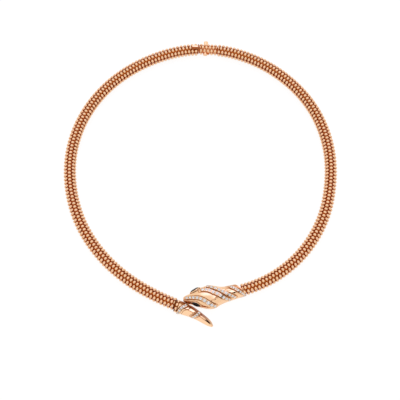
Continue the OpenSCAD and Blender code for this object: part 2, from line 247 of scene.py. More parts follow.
def ring_faces(rings, around):
    """The faces that join each ring of points to the next."""
    return [(i * around + j, i * around + (j + 1) % around, (i + 1) * around + (j + 1) % around,
             (i + 1) * around + j) for i in range(rings - 1) for j in range(around)]


class Casting:
    """Points in millimetres and faces of one piece, with each point's share of light: 0 is full painted
    shade, 1 none.
    """

    def __init__(self):
        self.points, self.faces, self.raised, self.count = [], [], [], 0

    def add(self, points, faces, raised=1.0):
        points = np.asarray(points, float).reshape(-1, 3)
        self.points.append(points)
        self.raised.append(np.broadcast_to(np.asarray(raised, float).ravel(), len(points)))
        self.faces += [tuple(int(i) + self.count for i in face) for face in faces]
        self.count += len(points)

    def loft(self, rings, raised=1.0, caps=True):
        """A skin through closed rings of points, given as an array of ring, point, XYZ."""
        n, m = rings.shape[:2]
        faces = ring_faces(n, m)
        if caps:
            faces += [tuple(range(m - 1, -1, -1)), tuple(range((n - 1) * m, n * m))]
        self.add(rings, faces, raised)

    def piece(self, name, material, body, slot, stands_for, flat=False, crease=None):
        """The finished piece. Edges that bend by more than crease, in degrees, stay crisp."""
        mesh = bpy.data.meshes.new(name)
        mesh.from_pydata(np.vstack(self.points) * MM, [], self.faces)
        shade_attribute = mesh.attributes.new("raised", "FLOAT", "POINT")
        shade_attribute.data.foreach_set("value", np.concatenate(self.raised))
        shells = bmesh.new()
        shells.from_mesh(mesh)
        bmesh.ops.recalc_face_normals(shells, faces=shells.faces)
        shells.to_mesh(mesh)
        shells.free()
        mesh.polygons.foreach_set("use_smooth", [not flat] * len(mesh.polygons))
        if crease:
            mesh.set_sharp_from_angle(angle=math.radians(crease))
        made = bpy.data.objects.new(name, mesh)
        bpy.context.scene.collection.objects.link(made)
        mesh.materials.append(material)
        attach(made, body)
        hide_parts(*stands_for)


def gold_finish(name, polish, shade_colour, wear=0.5, scratches=0.12, tone=1.0, satin=None):
    """Rose gold with painted shade: points marked as shaded take the shade colour, redder and darker, and
    are rougher; fine polishing marks cover it all.

    satin holds how much rougher it is on the left of a place along X, in metres, and that place."""
    bright = (0.965 * tone, 0.635 * tone, 0.375 * tone)
    dull = (0.935 * tone, 0.612 * tone, 0.385 * tone)

    def changing(start, place):
        # This attribute carries the painted shade: 1 keeps the gold's own colour, 0 gives the shade colour.
        raised = start.node("Attribute", {"attribute_name": "raised"}, out="Fac")
        cloud = start.noise(place, 260.0, 3.0)
        fine = start.noise(place, 5200.0, 2.0)
        stretch = {"Vector": place, "Rotation": (0.3, 0.7, 0.4), "Scale": (1, 0.08, 1)}
        marks = start.noise(start.node("Mapping", (), stretch), 14000.0, 1.0)
        shade = cloud.ramp(0.3, 0.7).mix(bright, dull)
        rough = polish + cloud * 0.05 + fine * 0.04 + (1 - raised.ramp(0.0, 0.8)) * wear * 0.4
        if satin:
            more, until = satin
            along_x = start.node("SeparateXYZ", (), {"Vector": place})
            rough = rough + along_x.ramp(until - 0.002, until, more, 0.0)
        return {"Base Color": raised.ramp(0.12, 1.0).mix(shade_colour, shade), "Roughness": rough,
                "Normal": (marks + fine * 0.5).bump(scratches, 0.00001)}
    return finish_for(name, changing, {"Metallic": 1.0})


def knob_mould(half, tip, stem_from, around=12):
    """A knob along +X, from its stem to its tip; half: half its size out, along and round the rope."""
    profile = [(stem_from, STEM_R, STEM_R)]
    profile += [(tip - half[0] + half[0] * math.sin(a), half[1] * math.cos(a), half[2] * math.cos(a))
                for a in np.radians([-48, -24, 0, 24, 46, 66])]
    points = [(x, r * math.cos(a), q * math.sin(a)) for x, r, q in profile for a in full_circle(around)]
    faces = ring_faces(len(profile), around)
    top = (len(profile) - 1) * around
    faces += [(top + j, top + (j + 1) % around, top + around) for j in range(around)]
    return np.array(points + [(tip, 0, 0)]), faces


def knob_rows(casting, middle_of, length, skip=None, half=KNOB, tip=ROPE_R, margin=KNOB_MARGIN):
    """Rows of knobs along a line: middle_of(s) gives the line's points, directions and outward side.

    Rows that start half a step in have a short knob at each end."""
    points, faces = knob_mould(half, tip, STEM_FROM)
    # Painted shade: each knob darkens from near its tip down to its stem.
    raised = np.clip((points[:, 0] - KNOB_DARK_TO) / (tip - (KNOB_DARK_TO + KNOB_TIP_BRIGHT)), 0, 1)
    first = half[1] + margin
    steps = round((length - 2 * first) / KNOB_PITCH)
    pitch = (length - 2 * first) / steps
    for row, shift in enumerate(ROW_STAGGER):
        turn = math.radians(90 + 360 * row / len(ROW_STAGGER))
        s = first + (np.arange(steps + 1) + 0.5 - shift) * pitch
        s = s[s < length - half[1]]
        squeeze = np.ones(len(s))
        if shift == 0:
            spare = (s[0] - half[1]) / 2
            s = np.concatenate([[spare], s, [length - spare]])
            squeeze = np.concatenate([[SHORT_KNOB], squeeze, [SHORT_KNOB]])
        p, along, out = middle_of(s)
        ray = math.cos(turn) * out + math.sin(turn) * UP
        side = np.cross(ray, along)
        for i in range(len(s)):
            if skip is None or not skip(s[i], turn):
                axes = np.stack([ray[i], squeeze[i] * along[i], side[i]])
                casting.add(p[i] + points @ axes, faces, raised)


def ribbed_core(casting, middle_of, length, around=20):
    """The core that the knobs stand on: a tube with one rib for each step of the knobs."""
    ribs = round(length / KNOB_PITCH)
    s = np.linspace(-CORE_PAST_END, length + CORE_PAST_END, RINGS_A_RIB * ribs + 1)
    p, along, out = middle_of(s)
    turns = full_circle(around)
    swell = CORE_R + RIB_H * np.cos(2 * np.pi * s / (length / ribs))
    rays = np.cos(turns)[None, :, None] * out[:, None] + np.sin(turns)[None, :, None] * UP
    # The core is painted in full shade.
    casting.loft(p[:, None] + swell[:, None, None] * rays, 0.0)


fine_turns = np.arange(-80, 261, 0.05)
fine_steps = np.linalg.norm(np.diff(loop_at(fine_turns), axis=0), axis=1)
fine_length = np.concatenate([[0], np.cumsum(fine_steps)])


def rope_line(turn_from):
    """The middle line of one length of rope, which starts at a turn round the loop."""
    start = np.interp(turn_from, fine_turns, fine_length)

    def middle_of(s):
        turn = np.interp(start + np.asarray(s, float), fine_length, fine_turns)
        along = unit(loop_at(turn + 0.1) - loop_at(turn - 0.1))
        return loop_at(turn), along, np.stack([along[:, 1], -along[:, 0], 0 * along[:, 0]], -1)
    return middle_of


mm_turn = 180 / (math.pi * float(smooth(LOOP, CLASP_TURN, 1)))
# The rope's gold is toned a tenth darker than plain gold, as painted shade over the rope and the clasp's
# tube.
rope_gold = gold_finish("rope_gold", 0.12, (0.6, 0.165, 0.02), tone=0.9)
for hand, turn_from, turn_to in (
        ("right", HEAD_END + END_GAP * mm_turn, CLASP_TURN - (CASE_LEN / 2 + END_GAP) * mm_turn),
        ("left", CLASP_TURN + (CASE_LEN / 2 + SHOULDER_LEN + 2 * END_GAP) * mm_turn,
         TAIL_END - END_GAP * mm_turn)):
    rope_from, rope_to = np.interp([turn_from, turn_to], fine_turns, fine_length)
    length = float(rope_to - rope_from)
    rope = Casting()
    ribbed_core(rope, rope_line(turn_from), length)
    knob_rows(rope, rope_line(turn_from), length)
    rope.piece("knob_rope_" + hand, rope_gold, "necklace", "rose_gold", ["chain_" + hand])


# The head is one hollow casting of rose gold, polished all over. Channels run beside its rows of
# stones, a seam over the crown is a painted shadow line with a shallow dent along part of it, and its
# neck ends in the rim that the rope starts from. Channels, grooves and the rim's inside carry painted shade.
HEAD_MID, RIM_WALL, RIM_DEEP = 2.6, 0.45, 0.6
CLEAR, RAIL_W = 0.06, 0.2
HEAD = [
    [-8.1, -69.65, 0.85, 0, 3.7, 1.3], [-7.4, -69.65, 1.5, 0, 4.3, 0.7], [-6, -69.6, 2.15, 0, 4.9, 0.2],
    [-4, -69.3, 2.8, 0, 5.4, 0], [-2, -68.9, 3.9, 0, 5.9, 0], [0, -68.7, 4.8, 0, 6.3, 0],
    [2.5, -68.6, 5.45, 0, 6.6, 0], [4.5, -68.5, 5.85, -0.05, 6.7, 0], [6.5, -68.3, 5.6, -0.15, 6.7, 0],
    [8.5, -67.6, 4.65, -0.3, 6.6, 0], [10.5, -67.2, 3.95, -0.45, 6.45, 0],
    [12.5, -66.75, 3.35, -0.75, 6.3, 0], [15, -66.1, 2.8, -1.2, 6.15, 0],
    [17.3, -65.5, 2.6, -1.4, 6.1, 0], [19.6, -64.9, 2.65, -1.1, 6.1, 0]
]
SNOUT_ROW = [
    [-0.8, -7.2, 90, 1.1], [0, -6.25, 88, 1.1], [2, -3.05, 79, 1.2], [4, 0.45, 70, 1.4],
    [6, 3.9, 49.5, 1.75], [8, 6.35, 26, 1.3], [8.8, 6.9, 18, 1.2]
]
BROW_ROW = [
    [-0.8, -0.1, 121, 1.2], [0, 1.2, 119.5, 1.25], [2, 4.7, 109, 1.35], [4, 8.1, 86, 1.35],
    [6, 10.3, 54.5, 1.3], [8, 11.95, 25, 1.05], [8.7, 12.25, 17, 1.05]
]
NAPE_ROW = [
    [-0.8, 2.85, 144, 1.15], [0, 3.85, 138, 1.15], [2, 8, 119, 1.3], [4, 10.9, 92, 1.3],
    [6, 12.85, 61.5, 1.3], [8, 14.05, 31.5, 1.05], [8.7, 14.3, 22, 1.05]
]
COLLAR_ROW = [
    [-2, 15.9, 142, 1], [0, 16.6, 113, 1], [2, 17.25, 90, 1], [4, 17.65, 59, 1], [6, 18.35, 27, 1],
    [7, 18.6, 12, 1]
]
CHANNEL_W, CHANNEL_DEEP, CHANNEL_OUT = 0.19, 0.25, 0.03
SEAM_LINE = ((8.1, 74.5), (7.4, 69), (6.4, 64.5), (5.17, 60))
SEAM_W, SEAM_NOTCH_W, SEAM_NOTCH_DEEP = 0.17, 0.2, 0.24
LOWER_DEEP, LOWER_EDGE_W, LOWER_S, LOWER_TURN, LOWER_SLOPE = 0.24, 0.35, 7.6, 69, 0.27
LOWER_FADES = (9.5, 11)
LOWER_BY_TURN = ((15, 0), (28, 0.45), (40, 0.85), (50, 1), (76, 0))
FOLD_LINE = ((13.2, 108), (14.4, 111), (15.8, 113))
OUTER_MOUTH = ((-7.9, 20), (-6.5, 8), (-4.5, 4), (-2, 2), (1, 0), (4, -2), (7, -3), (9.5, -1))
INNER_MOUTH = ((-7.9, 160), (-6.5, 172), (-4.5, 176), (-2, 178), (1, 180), (4, 182), (7, 183))
GROOVE_W, GROOVE_DEEP = 0.22, 0.2
NECK_DARK, DARKEST = 0.55, 0.1
HEAD_RINGS, HEAD_ROUND = 300, 280


def head_skin(s, b, inset=0.0):
    """A point of the head at place s along X and turn b: 0 outer side, 90 top, 180 inner side."""
    y, w, k, top, foot = [smooth(HEAD, s, c) for c in (1, 2, 3, 4, 5)]
    sine, v = np.sin(np.radians(b)), -(w - inset) * np.cos(np.radians(b))
    foot = np.maximum(foot, 0) + inset
    z = np.where(sine >= 0, HEAD_MID + (top - inset - HEAD_MID) * sine,
                 HEAD_MID - (HEAD_MID - foot) * np.sqrt(np.maximum(-sine, 0)))
    return np.stack([s + k * v, y + v, z + 0 * s], -1)


def head_middle(s):
    return np.stack([s, smooth(HEAD, s, 1), HEAD_MID + 0 * s], -1)


HEAD_SURFACE = (head_skin, head_middle, 0.05, 1.0)


def outward(surface, s, b):
    """The outward direction of a surface, which is its skin, its middle and small steps of s and b."""
    skin, middle, ds, db = surface
    n = unit(np.cross(skin(s, b + db) - skin(s, b - db), skin(s + ds, b) - skin(s - ds, b)))
    inside = np.sum(n * (skin(s, b) - middle(s)), -1, keepdims=True) < 0
    return np.where(inside, -n, n)


def ease(x, low, high):
    """0 below low, 1 above high, and a soft step between them."""
    u = np.clip((x - low) / (high - low), 0, 1)
    return u * u * (3 - 2 * u)


def ridge(far, width):
    """1 where far is 0, falling softly to 0 over a few widths."""
    return np.exp(-(far / width) ** 2)


def from_line(points, line):
    """For each point: its distance from a line of points, and how far along the line that is (0 to 1)."""
    starts, ends = line[:-1], line[1:]
    best, along = np.full(len(points), 1e9), np.zeros(len(points))
    run = np.concatenate([[0], np.cumsum(np.linalg.norm(ends - starts, axis=1))])
    for i in range(len(starts)):
        d = ends[i] - starts[i]
        t = np.clip(((points - starts[i]) @ d) / (d @ d), 0, 1)
        far = np.linalg.norm(points - (starts[i] + t[:, None] * d), axis=1)
        near = far < best
        best[near] = far[near]
        along[near] = (run[i] + t * np.linalg.norm(d))[near]
    return best, along / run[-1]


def from_row(row, skin, points):
    """Each point's distance from the middle of a row of stones, and half the width of its setting."""
    t = np.linspace(row[0][0], row[-1][0], 50)
    centre = skin(smooth(row, t, 1), smooth(row, t, 2))
    return from_line(points, centre)[0], float(np.mean(smooth(row, t, 3))) / 2 + CLEAR + RAIL_W


def row_crosses(row, b):
    """The place along X where a row of stones crosses the turn b."""
    places = np.array(sorted(row, key=lambda place: place[2]), float)
    return np.interp(b, places[:, 2], places[:, 1])


def on_head(places):
    """A fine line over the head through places given as distance along X and turn."""
    t = np.array(places, float)
    u = np.linspace(0, len(t) - 1, 12 * (len(t) - 1) + 1)
    i = np.minimum(u.astype(int), len(t) - 2)
    f = (u - i)[:, None]
    sb = t[i] * (1 - f) + t[i + 1] * f
    return head_skin(sb[:, 0], sb[:, 1])


def all_places(s, b):
    """Every pairing of the rings' places s with the turns b, ring by ring."""
    return [grid.ravel() for grid in np.meshgrid(s, b, indexing="ij")]


head_turns = 360 * np.arange(HEAD_ROUND) / HEAD_ROUND
s, b = all_places(np.linspace(HEAD[0][0], HEAD[-1][0], HEAD_RINGS), head_turns)
skin_points = head_skin(s, b)
relief = np.zeros(len(skin_points))
for row in (SNOUT_ROW, BROW_ROW, NAPE_ROW, COLLAR_ROW):
    far, half = from_row(row, head_skin, skin_points)
    relief = np.minimum(relief, -CHANNEL_DEEP * ridge(far - half - CHANNEL_OUT, CHANNEL_W))
# The loop ends with the collar's row, and the neck behind that row gets painted shade.
neck = (far > half + 0.15) & (s > row_crosses(COLLAR_ROW, b)) & (s < HEAD[-1][0] - 0.1)

# Behind the seam and the front row of stones the crown lies a little lower. The lower part fades
# out towards the neck, the outer side and the top, and the painted shade its depth would bring is taken off
# it again.
lower_from = np.maximum(LOWER_S + LOWER_SLOPE * (b - LOWER_TURN), row_crosses(SNOUT_ROW, b))
lower = ease(s - lower_from, 0, LOWER_EDGE_W) * (1 - ease(s, *LOWER_FADES))
lower *= np.interp(b, *np.transpose(LOWER_BY_TURN))
relief -= LOWER_DEEP * lower
# Painted shadow: a soft dark line is painted along the seam, darkest at its ends, and a shallow dent is
# pressed in along its first part.
seam_far, seam_along = from_line(skin_points, on_head(SEAM_LINE))
seam = ridge(seam_far, SEAM_W) * (0.5 + 0.5 * ease(abs(seam_along - 0.6), 0.15, 0.35))
relief -= SEAM_NOTCH_DEEP * ridge(seam_far, SEAM_NOTCH_W) * (1 - ease(seam_along, 0.25, 0.5))
fold_far = from_line(skin_points, on_head(FOLD_LINE))[0]
relief = np.minimum(relief, -GROOVE_DEEP * ridge(fold_far, GROOVE_W))
for mouth in (OUTER_MOUTH, INNER_MOUTH):
    relief -= GROOVE_DEEP * ridge(from_line(skin_points, on_head(mouth))[0], GROOVE_W)
relief *= ease(skin_points[:, 2], 0.05, 0.8)
# Painted shade: channels, the fold and the mouth's grooves turn darker with their depth, and the rim's
# inside wall is painted darker still.
raised = np.clip(1 + 3 * relief + 0.75 * lower, DARKEST, 1)
raised = np.maximum(raised - seam - NECK_DARK * neck * ease(b, 5, 25), DARKEST)
head_points = skin_points + relief[:, None] * outward(HEAD_SURFACE, s, b)
rim = [head_skin(place + 0 * head_turns, head_turns, RIM_WALL)
       for place in (HEAD[-1][0], HEAD[-1][0] - RIM_DEEP)]
head = Casting()
head.loft(np.concatenate([head_points.reshape(HEAD_RINGS, HEAD_ROUND, 3), rim]),
          np.concatenate([raised, np.full(HEAD_ROUND, 0.8), np.full(HEAD_ROUND, 0.2)]))
head_gold = gold_finish("head_gold", 0.055, (0.5, 0.16, 0.035), scratches=0.03, tone=0.97,
                        satin=(0.1, 0.0115))
head.piece("head_shell", head_gold, "necklace", "rose_gold", ["head_body"], crease=50)


# The tail is a second casting: a round collar that turns into long flat faces towards a blunt point.
# Its faces are mirror bright, its edges are crisp, and knobs like the rope's stand on its collar.
TAIL = [
    [-11.8, -72.85, 3.0, 6.0, 0], [-8.9, -73.95, 3.0, 5.9, 0.1], [-5.4, -75.15, 2.8, 5.5, 1],
    [-3.3, -76.15, 2.55, 5.0, 1], [-0.8, -77.6, 2.2, 4.3, 1], [2.8, -80.0, 1.75, 3.1, 1],
    [4.6, -81.35, 1.35, 2.3, 1], [6.1, -82.6, 0.45, 1.2, 1]
]
FACET = [
    [-60, -0.85, -1], [-15, -1, -0.4], [75, -0.3, 0.92], [105, 0.2, 1], [195, 1, -0.3],
    [240, 0.8, -1], [300, -0.85, -1]
]
TAIL_COLLAR_ROW = [
    [-1, -9.75, -5, 1.1], [0, -9.5, 19, 1.1], [2, -8.65, 72, 1.1], [4, -7.1, 104, 0.95],
    [4.8, -6.5, 118, 0.95]
]
TAIL_BAND_ROW = [
    [-0.9, -2.6, 2, 1], [0, -2.15, 26, 1], [1.5, -1.3, 70, 1], [3, -0.85, 103, 1], [3.8, -0.6, 120, 1]
]
TAIL_RINGS = 260
POINTS_A_FACE = (12, 60, 26, 52, 12, 12)
TAIL_CHANNEL_W, TAIL_CHANNEL_DEEP, TAIL_CHANNEL_OUT = 0.18, 0.22, 0.05
COLLAR_BORDER, BAND_BORDER, BORDER_W, BORDER_DEEP = 1.9, 1.45, 0.15, 0.2
KNOB_BED_DEEP, KNOB_BED_STARTS, KNOB_BED_ENDS = 0.5, (-11.8, -11.6), (-10.3, -10.1)
TAIL_KNOBS_AT, TOP_KNOB_AT = -10.95, -11.0
TAIL_KNOB_OUT, TAIL_KNOB_FROM = 0.25, -0.9
TOP_EDGES, TOP_EDGE_W = (75, 105), 4.5
INNER_FACE_STARTS, INNER_FACE_ENDS = (104, 112), (190, 200)


def tail_skin(s, b):
    """A point of the tail at place s along X and turn b, as on the head."""
    s, b = np.broadcast_arrays(np.asarray(s, float), np.asarray(b, float))
    y, w, mid = smooth(TAIL, s, 1), smooth(TAIL, s, 2), smooth(TAIL, s, 3) / 2
    f = np.clip(smooth(TAIL, s, 4), 0, 1)
    lean = (smooth(TAIL, s + 0.1, 1) - smooth(TAIL, s - 0.1, 1)) / 0.2
    side = unit(np.stack([-lean, 1 + 0 * lean, 0 * lean], -1))
    t = np.array(FACET)
    wrapped = np.where(b < -60, b + 360, b)
    sine = np.sin(np.radians(b))
    up = np.where(sine > 0, sine, -np.sqrt(np.maximum(-sine, 0)))
    across = (f - 1) * np.cos(np.radians(b)) + f * np.interp(wrapped, t[:, 0], t[:, 1])
    high = (1 - f) * up + f * np.interp(wrapped, t[:, 0], t[:, 2])
    return np.stack([s, y, mid * (1 + high)], -1) + (w * across)[..., None] * side


def tail_middle(s):
    return np.stack([s, smooth(TAIL, s, 1), smooth(TAIL, s, 3) / 2], -1)


def tail_surface(turn_step):
    """The tail's surface for outward(): a wider step of turn rounds its edges off more."""
    return tail_skin, tail_middle, 0.1, turn_step


tail_turns = np.concatenate([np.linspace(start[0], end[0], count, endpoint=False)
                             for start, end, count in zip(FACET, FACET[1:], POINTS_A_FACE)])
s, b = all_places(np.linspace(TAIL[0][0], TAIL[-1][0], TAIL_RINGS), tail_turns)
tail_points = tail_skin(s, b)
relief = np.zeros(len(tail_points))
for row, border, shown in (
        (TAIL_COLLAR_ROW, COLLAR_BORDER, s > row_crosses(TAIL_COLLAR_ROW, b)),
        (TAIL_BAND_ROW, BAND_BORDER, True)):
    far, half = from_row(row, tail_skin, tail_points)
    relief = np.minimum(relief, -TAIL_CHANNEL_DEEP * ridge(far - half - TAIL_CHANNEL_OUT, TAIL_CHANNEL_W))
    relief = np.minimum(relief, -BORDER_DEEP * ridge(border - far, BORDER_W) * shown)
# The loop ends with the band's row, and the gold inside the band's border gets a little painted shade.
band_dark = 0.2 * ease(BAND_BORDER - far, 0, 0.1)
# Painted shade: under the collar's knobs the gold is sunk a little and painted dark.
knob_bed = 1 - ease(s, *KNOB_BED_ENDS)
relief -= KNOB_BED_DEEP * knob_bed * ease(s, *KNOB_BED_STARTS) * ease(tail_points[:, 2], 0.6, 1.0)

# Painted shade and a painted dark reflection: the inner face, turned towards the head's jaw, is painted
# darker, less so over its last part towards the point.
inner_face = ease(b, *INNER_FACE_STARTS) * (1 - ease(b, *INNER_FACE_ENDS))
shaded = 1 - inner_face * (0.75 - 0.35 * ease(s, 1, 5))
# Painted dark reflections: thin dark lines run along both edges of the top face, from just past the collar
# to the point.
for edge in TOP_EDGES:
    shaded = np.minimum(shaded, 1 - 0.95 * ridge(b - edge, TOP_EDGE_W) * ease(s, -10, -9))
# Painted shade: channels and borders turn darker with their depth, more steeply on the collar's side of the
# band.
deep_dark = 4 - 1.7 * ease(s, -4.5, -4)
raised = np.clip(1 + deep_dark * relief - band_dark, DARKEST, 1)
tail_points += relief[:, None] * outward(tail_surface(2.0), s, b)
tail = Casting()
tail.loft(tail_points.reshape(TAIL_RINGS, len(tail_turns), 3),
          np.minimum(raised, shaded * (1 - 0.8 * knob_bed)))
# Painted shade: each of the collar's knobs darkens towards its stem.
knob, knob_faces = knob_mould(KNOB, TAIL_KNOB_OUT, TAIL_KNOB_FROM)
for turn in (45, 90, 135, 180, 225, 315, 360):
    at = TOP_KNOB_AT if turn == 90 else TAIL_KNOBS_AT
    along = unit(tail_middle(at + 0.1) - tail_middle(at - 0.1))
    ray = outward(tail_surface(6.0), at, turn)
    ray = unit(ray - (ray @ along) * along)
    tail.add(tail_skin(at, turn) + knob @ np.stack([ray, along, np.cross(ray, along)]), knob_faces,
             np.clip((knob[:, 0] + 1.0) / 1.1, 0, 1))
tail_gold = gold_finish("tail_gold", 0.02, (0.32, 0.085, 0.012), scratches=0.02)
tail.piece("tail_faces", tail_gold, "necklace", "rose_gold", ["tail_body"], crease=25)


# Each row of stones sits in a strip that stands proud. Round seats are cut into it, its edges are scalloped
# round the stones, and small claws between them are pushed over the stones' edges.
FLOOR_T, PAVILION_PART, TAIL_LIFT = 0.15, 0.24, 0.16
SEAT_ROOM, THIN_WALL, SCALLOP, BEVEL, FOOT_SUNK = 0.02, 0.09, 0.13, 0.07, 0.15
SECTIONS_A_STONE = 22
END_TAPER = 0.35
CLAW_AT, CLAW_R, CLAW_TIP = 0.34, 0.115, 1.1
ON_TAIL = tail_surface(12.0)
ROWS = (
    ("snout", SNOUT_ROW, 9, HEAD_SURFACE, CLEAR), ("brow", BROW_ROW, 9, HEAD_SURFACE, CLEAR),
    ("nape", NAPE_ROW, 9, HEAD_SURFACE, CLEAR), ("collar", COLLAR_ROW, 7, HEAD_SURFACE, CLEAR),
    ("tail_collar", TAIL_COLLAR_ROW, 5, ON_TAIL, CLEAR + TAIL_LIFT),
    ("tail_band", TAIL_BAND_ROW, 4, ON_TAIL, CLEAR + TAIL_LIFT)
)


def row_places(row, surface, t):
    """Points, outward directions, directions along and stone sizes on a row at steps t."""
    t = np.asarray(t, float)
    first, last = row[0][0], row[-1][0]
    skin = surface[0]
    outs = 0
    for reach in (-0.8, -0.4, 0.4, 0.8):
        near = np.clip(t + reach, first, last)
        outs = outs + outward(surface, smooth(row, near, 1), smooth(row, near, 2))
    near = [np.clip(t + reach, first, last) for reach in (-0.5, 0.5)]
    ends = [skin(smooth(row, n, 1), smooth(row, n, 2)) for n in near]
    return skin(smooth(row, t, 1), smooth(row, t, 2)), unit(outs), unit(ends[1] - ends[0]), smooth(row, t, 3)


def claw_mould(around=10, rings=6):
    """A small round claw: a ball of radius 1 with a slightly drawn tip."""
    lats = np.radians(np.linspace(-50, 90, rings + 1))[:-1]
    points = [(math.cos(a) * math.cos(q), math.cos(a) * math.sin(q), CLAW_TIP * math.sin(a))
              for a in lats for q in full_circle(around)]
    faces = ring_faces(rings, around)
    top = (rings - 1) * around
    faces += [(top + j, top + (j + 1) % around, rings * around) for j in range(around)]
    return np.array(points + [(0, 0, CLAW_TIP)]), faces


def setting_strip(name, row, stones, surface, lift):
    """The strip of one row: its profile goes from one foot over both rails to the other foot."""
    first, last = row[0][0], row[-1][0]
    t = np.linspace(first, last, round((last - first) * SECTIONS_A_STONE) + 1)
    p, out, along, d = row_places(row, surface, t)
    side = unit(np.cross(out, along))
    nearest_stone = row_places(row, surface, np.clip(np.round(t), 0, stones - 1))[0]
    gone = np.linalg.norm(p - nearest_stone, axis=1)
    taper = ease(t, first, max(first + END_TAPER, -0.5)) * ease(last - t, 0, END_TAPER)
    seat = d / 2 + SEAT_ROOM
    outer = d / 2 + CLEAR + RAIL_W - SCALLOP * ease(gone, 0.15 * d, 0.62 * d)
    outer = outer * (0.45 + 0.55 * taper)
    hollow = np.minimum(np.sqrt(np.maximum(seat**2 - gone**2, 0.05**2)), outer - THIN_WALL)
    high = lift + FLOOR_T + CLEAR + PAVILION_PART * d + CLEAR
    high = lift + (high - lift) * taper
    bed = np.where(gone < seat, np.minimum(lift + FLOOR_T, high - 0.02), high - 0.05)
    foot = lift - CLEAR - FOOT_SUNK + 0 * d
    profile = [(-outer, foot), (-outer, high - 0.1), (-outer + BEVEL, high), (-hollow, high),
               (-hollow + 0.03, bed), (hollow - 0.03, bed), (hollow, high), (outer - BEVEL, high),
               (outer, high - 0.1), (outer, foot)]
    rings = np.stack([p + a[:, None] * side + h[:, None] * out for a, h in profile], 1)
    strip = Casting()
    # Painted shade: each strip is lightest along its top, darker down its sides to its feet, and fully
    # shaded on its seats' floors.
    strip.loft(rings, np.tile([0.3, 0.8, 1, 0.9, 0.0, 0.0, 0.9, 1, 0.8, 0.3], len(t)))
    p, out, along, d = row_places(row, surface, np.arange(0, stones + 1) - 0.5)
    side = unit(np.cross(out, along))
    claw, claw_faces = claw_mould()
    for i in range(stones + 1):
        girdle = lift + FLOOR_T + 2 * CLEAR + PAVILION_PART * d[i]
        axes = np.stack([along[i], side[i], out[i]])
        for way in (-1, 1):
            place = p[i] + way * (CLAW_AT * d[i]) * side[i] + girdle * out[i]
            strip.add(place + CLAW_R * d[i] * (claw @ axes), claw_faces)
    strip.piece("strip_" + name, setting_gold, "necklace", "rose_gold", ["setting_" + name], crease=40)


setting_gold = gold_finish("setting_gold", 0.1, (0.3, 0.08, 0.02), tone=0.85)
for row in ROWS:
    setting_strip(*row)


# The stones are round brilliants: a flat table, a ring of star, kite and half facets, a thin girdle
# and a pointed underside. They are colourless.
CROWN_PART, TABLE_PART, STAR_PART, STAR_HIGH = 0.14, 0.56, 0.78, 0.62
GIRDLE_PART, UNDER_RING_PART = 0.02, 0.62


def stone_clearness(start, place):
    cloud = start.noise(place, 700.0)
    fine = start.noise(place, 9000.0)
    return {"Base Color": cloud.mix((0.93, 0.95, 1.0), (0.99, 0.98, 0.97)),
            "Roughness": fine.ramp(0.3, 0.8, 0.0, 0.05), "Normal": fine.bump(0.05, 0.00001)}


clear_stone = finish_for("clear_stone", stone_clearness, {"Transmission Weight": 0.4, "IOR": 2.2})


def brilliant(casting, middle, along, out, d):
    """Rings of a round brilliant from its table to its point, joined by flat facets."""
    side = np.cross(out, along)
    table, star, girdle = TABLE_PART * d / 2, STAR_PART * d / 2, d / 2
    crown, under = CROWN_PART * d, PAVILION_PART * d
    spots = [(table, 45 * j, crown) for j in range(8)]
    spots += [(star, 45 * j + 22.5, STAR_HIGH * crown) for j in range(8)]
    spots += [(girdle, 22.5 * j, GIRDLE_PART * d) for j in range(16)]
    spots += [(girdle, 22.5 * j, -GIRDLE_PART * d) for j in range(16)]
    spots += [(UNDER_RING_PART * d / 2, 45 * j + 22.5, -0.5 * under) for j in range(8)]
    spots.append((0.0, 0.0, -under))
    points = [middle + r * (math.cos(math.radians(a)) * along + math.sin(math.radians(a)) * side) + h * out
              for r, a, h in spots]
    faces = [tuple(range(8))]
    for j in range(8):
        k = (j + 1) % 8
        g0, g1, g2 = 16 + 2 * j, 16 + 2 * j + 1, 16 + (2 * j + 2) % 16
        faces += [(j, 8 + j, k), (j, g0, 8 + j), (8 + j, g2, k), (g0, g1, 8 + j), (g1, g2, 8 + j)]
        faces += [(g0, g0 + 16, g1 + 16, g1), (g1, g1 + 16, g2 + 16, g2)]
        faces += [(g1 + 16, g0 + 16, 48 + j), (g2 + 16, g1 + 16, 48 + j)]
        faces += [(g0 + 16, 56, 48 + j), (48 + j, 56, g2 + 16)]
    casting.add(points, faces)


for name, row, stones, surface, lift in ROWS:
    p, out, along, d = row_places(row, surface, np.arange(stones))
    along = unit(along - np.sum(along * out, -1, keepdims=True) * out)
    girdle = lift + FLOOR_T + CLEAR + PAVILION_PART * d
    field = Casting()
    for i in range(stones):
        brilliant(field, p[i] + girdle[i] * out[i], along[i], out[i], d[i])
        if stones == 9:
            field.piece("brilliant_%s_%d" % (name, i + 1), clear_stone, "necklace", "clear_stone",
                        ["stone_%s_%d" % (name, i + 1)], flat=True)
            field = Casting()
    if stones != 9:
        field.piece("brilliants_" + name, clear_stone, "necklace", "clear_stone", ["stones_" + name],
                    flat=True)


# The eyes are two pointed black stones with a flat top and cut edges, each held in a thin rim that
# stands up from the head.
EYE_LEN, EYE_W, EYE_H, EYE_SEAT = 4.3, 2.05, 0.65, 0.3
EYE_RIM_W, EYE_RIM_LARGER = 0.32, 0.04
EYE_ROUND, EYE_RIM_ROUND = 24, 64
EYES = (("outer", (-3.8, 34), (0.1, 22)), ("inner", (-4.2, 157), (-0.7, 149)))


def black_depth(start, place):
    cloud = start.noise(place, 500.0)
    fine = start.noise(place, 8000.0)
    return {"Base Color": cloud.mix((0.006, 0.006, 0.007), (0.014, 0.013, 0.013)),
            "Roughness": fine.ramp(0.3, 0.8, 0.03, 0.09), "Normal": fine.bump(0.04, 0.00001)}


black_stone = finish_for("black_stone", black_depth, {"Specular IOR Level": 0.25})


def eye_outline(scale, lift, count):
    """A closed line round the eye, pointed at both ends."""
    a = full_circle(count)
    across = scale * EYE_W / 2 * np.sin(a) * np.abs(np.sin(a)) ** 0.6
    return np.stack([scale * EYE_LEN / 2 * np.cos(a), across, lift + 0 * a], -1)


